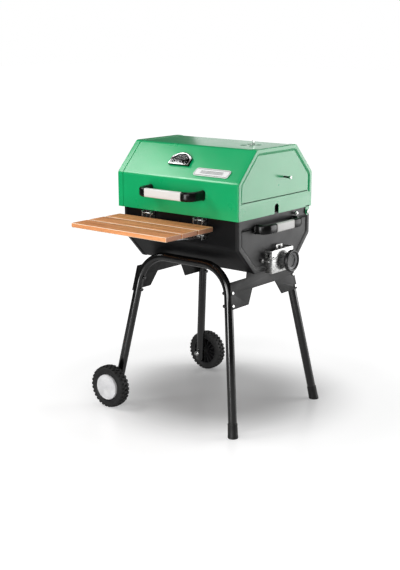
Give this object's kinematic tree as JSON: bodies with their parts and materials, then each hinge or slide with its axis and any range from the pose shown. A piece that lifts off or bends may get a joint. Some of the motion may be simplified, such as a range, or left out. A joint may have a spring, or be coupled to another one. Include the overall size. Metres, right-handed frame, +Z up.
{
  "type": "charcoal grill",
  "caption": "Charcoal grill with a faceted hinged hood, a height-adjustable charcoal tray, a folding wooden front shelf and a tubular stand on wheels.",
  "frame": {"origin": "on the floor, under the centre of the whole object's box", "axes": "+Z up, +X towards the end with the lift handwheel, -Y towards the cook"},
  "size_m": [0.705, 0.83, 1.0461],
  "materials": {
    "hood_paint": "semi-gloss green enamel",
    "bowl_enamel": "satin black high-temperature enamel",
    "frame_paint": "semi-gloss black powder coat",
    "bracket_paint": "satin black powder coat",
    "zinc": "bright zinc plate",
    "chrome_trim": "polished",
    "grate_steel": "chromed wire",
    "tray_steel": "heat-darkened steel",
    "grip_white": "satin white coat",
    "handle_black": "moulded",
    "knob_black": "moulded",
    "knob_grey": "satin",
    "brass": "plain",
    "foot_rubber": "moulded",
    "tyre": "moulded tread",
    "wheel_plastic": "moulded",
    "hubcap_grey": "moulded",
    "dial_black": "printed",
    "needle_red": "enamel",
    "dial_glass": "clear",
    "plate_white": "blank satin plate",
    "board_wood": "oiled hardwood"
  },
  "bodies": {
    "grill": {"bowl_shell": "bowl_enamel", "bowl_end_left": "bowl_enamel", "bowl_end_right": "bowl_enamel", "grate_ledges": "bowl_enamel", "lid_stop_bolts": "zinc", "side_handle_grip_left": "grip_white", "side_handle_grip_right": "grip_white", "side_handle_ends": "handle_black", "lift_housing": "zinc", "housing_screws": "zinc", "shaft_bush": "brass", "leg_loop_front": "frame_paint", "leg_loop_rear": "frame_paint", "side_bracket_left": "bracket_paint", "side_bracket_right": "bracket_paint", "bracket_bolts": "zinc", "bowl_bolts": "zinc", "foot_caps": "foot_rubber", "axle_bolts": "zinc", "shelf_hinge_brackets": "zinc", "shelf_hinge_pins": "zinc", "lid_hinge_pins": "zinc"},
    "grate_left": {"cooking_grate_left": "grate_steel"},
    "grate_right": {"cooking_grate_right": "grate_steel"},
    "lift": {"lift_rack": "zinc", "tray_carrier": "tray_steel", "charcoal_tray": "tray_steel"},
    "handwheel": {"pinion_shaft": "zinc", "handwheel_rim": "knob_black", "handwheel_hub": "knob_grey"},
    "latch": {"latch_wire": "zinc", "latch_nut": "zinc"},
    "hood": {"hood_shell": "hood_paint", "hood_cap_left": "hood_paint", "hood_cap_right": "hood_paint", "lid_handle_grip": "grip_white", "lid_handle_ends": "handle_black", "thermometer_bezel": "chrome_trim", "thermometer_dial": "dial_black", "thermometer_lens": "dial_glass", "thermometer_stem": "zinc", "name_plate": "plate_white", "rack_studs": "zinc", "warming_rack": "grate_steel", "vent_rivet": "zinc"},
    "needle": {"thermometer_needle": "needle_red"},
    "vent": {"vent_damper": "hood_paint", "vent_tab": "zinc"},
    "shelf": {"shelf_board_inner": "board_wood", "shelf_board_middle": "board_wood", "shelf_board_outer": "board_wood", "shelf_arms": "zinc", "shelf_screws": "zinc"},
    "wheel_front": {"wheel_front_tyre": "tyre", "wheel_front_rim": "wheel_plastic", "wheel_front_hubcap": "hubcap_grey"},
    "wheel_rear": {"wheel_rear_tyre": "tyre", "wheel_rear_rim": "wheel_plastic", "wheel_rear_hubcap": "hubcap_grey"}
  },
  "joints": [
    {"name": "lid_hinge", "type": "hinge", "parent": "grill", "child": "hood", "pos_m": [0.01048, 0.28902, 0.762], "axis": [-1, 0, 0], "range_deg": [0, 85]},
    {"name": "shelf_fold", "type": "hinge", "parent": "grill", "child": "shelf", "pos_m": [0.01048, -0.15198, 0.72], "axis": [1, 0, 0], "range_deg": [0, 90]},
    {"name": "tray_lift", "type": "slide", "parent": "grill", "child": "lift", "axis": [0, 0, 1], "range_m": [-0.024, 0.024]},
    {"name": "handwheel_turn", "type": "hinge", "parent": "grill", "child": "handwheel", "pos_m": [0.31049, 0.11602, 0.608], "axis": [1, 0, 0], "range_deg": [-115, 115]},
    {"name": "latch_swing", "type": "hinge", "parent": "grill", "child": "latch", "pos_m": [0.31049, 0.00202, 0.62], "axis": [1, 0, 0], "range_deg": [0, 60]},
    {"name": "grate_left_lift", "type": "slide", "parent": "grill", "child": "grate_left", "axis": [0, 0, 1], "range_m": [0, 0.06]},
    {"name": "grate_right_lift", "type": "slide", "parent": "grill", "child": "grate_right", "axis": [0, 0, 1], "range_m": [0, 0.06]},
    {"name": "needle_turn", "type": "hinge", "parent": "hood", "child": "needle", "pos_m": [-0.00552, -0.09367, 0.9652], "axis": [0, -0.72, 0.694], "range_deg": [-120, 0]},
    {"name": "vent_turn", "type": "hinge", "parent": "hood", "child": "vent", "pos_m": [0.17848, 0.08602, 1.024], "axis": [0, 0, 1], "range_deg": [0, 45]},
    {"name": "wheel_front_spin", "type": "hinge", "parent": "grill", "child": "wheel_front", "pos_m": [-0.26948, -0.19195, 0.083], "axis": [0, 1, 0], "continuous": true},
    {"name": "wheel_rear_spin", "type": "hinge", "parent": "grill", "child": "wheel_rear", "pos_m": [-0.26948, 0.36398, 0.083], "axis": [0, 1, 0], "continuous": true}
  ],
  "couplings": [
    {"joint": "handwheel_turn", "follows": "tray_lift", "rad_per_m": -83.333}
  ]
}
